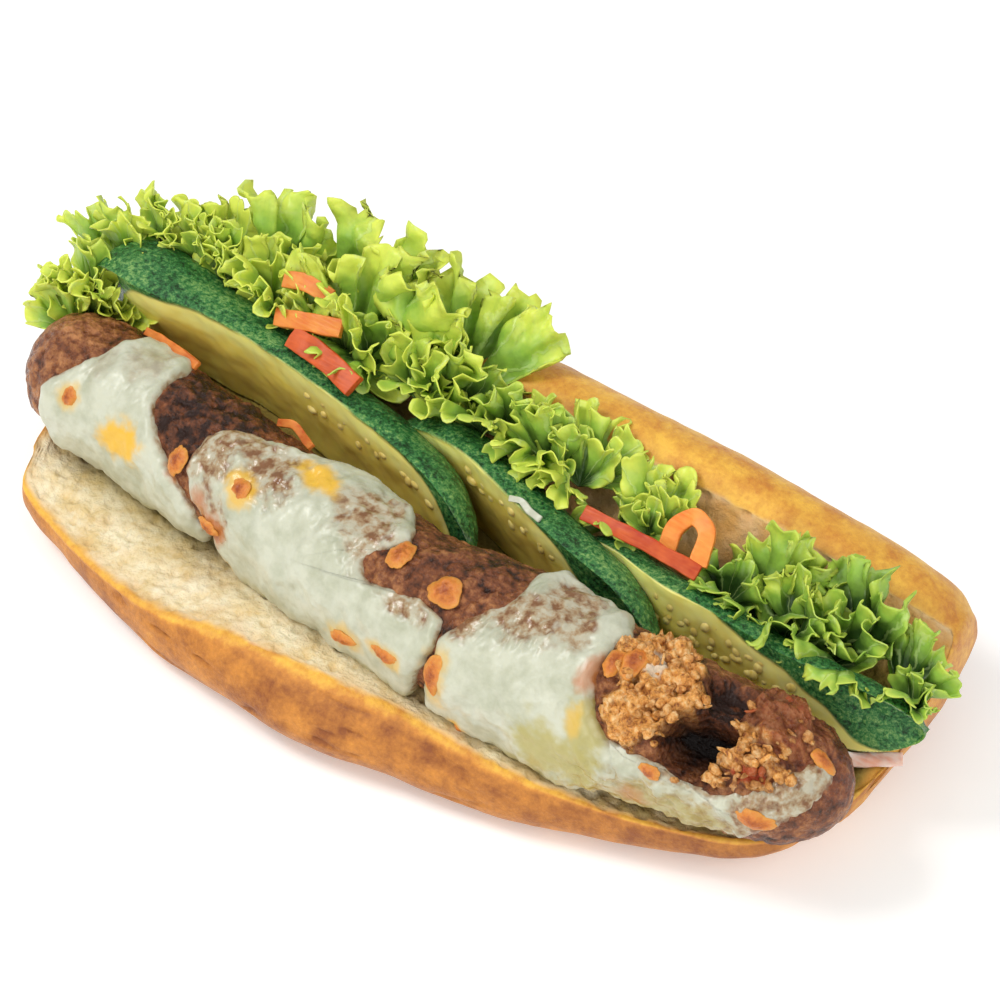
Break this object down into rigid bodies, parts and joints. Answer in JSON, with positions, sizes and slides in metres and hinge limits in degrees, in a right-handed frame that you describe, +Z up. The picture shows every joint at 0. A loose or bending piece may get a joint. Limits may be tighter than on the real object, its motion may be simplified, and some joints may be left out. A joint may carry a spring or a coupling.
{
  "type": "banh mi sandwich",
  "caption": "Split bread roll laid open, filled with a cheese-covered minced meat roll, pickled cucumber slices, carrot shreds and frilly lettuce.",
  "frame": {"origin": "middle of the flat spot under the roll that the sandwich rests on", "axes": "+X along the roll towards the end where the meat is torn open, +Y from the low front flap to the raised back half, +Z up"},
  "size_m": [0.2862, 0.1258, 0.076],
  "materials": {
    "bread": "dry baked crust with a pale open crumb",
    "meat": "browned, slightly greasy",
    "cheese": "melted, soft sheen",
    "cucumber": "wet",
    "lettuce": "fresh, waxy",
    "carrot": "moist",
    "radish": "moist, slightly clear"
  },
  "bodies": {
    "root": {"roll": "bread", "meat_roll": "meat", "cheese_left": "cheese", "cheese_middle": "cheese", "cheese_right": "cheese", "cheese_end": "cheese", "pickle_left": "cucumber", "pickle_middle": "cucumber", "pickle_right": "cucumber", "lettuce_back_left": "lettuce", "lettuce_front_left": "lettuce", "lettuce_back_middle": "lettuce", "lettuce_front_middle": "lettuce", "lettuce_right": "lettuce", "carrot_left_upper": "carrot", "carrot_left_lower": "carrot", "carrot_back": "carrot", "carrot_long": "carrot", "carrot_loop": "carrot", "radish_strip": "radish"}
  },
  "joints": []
}
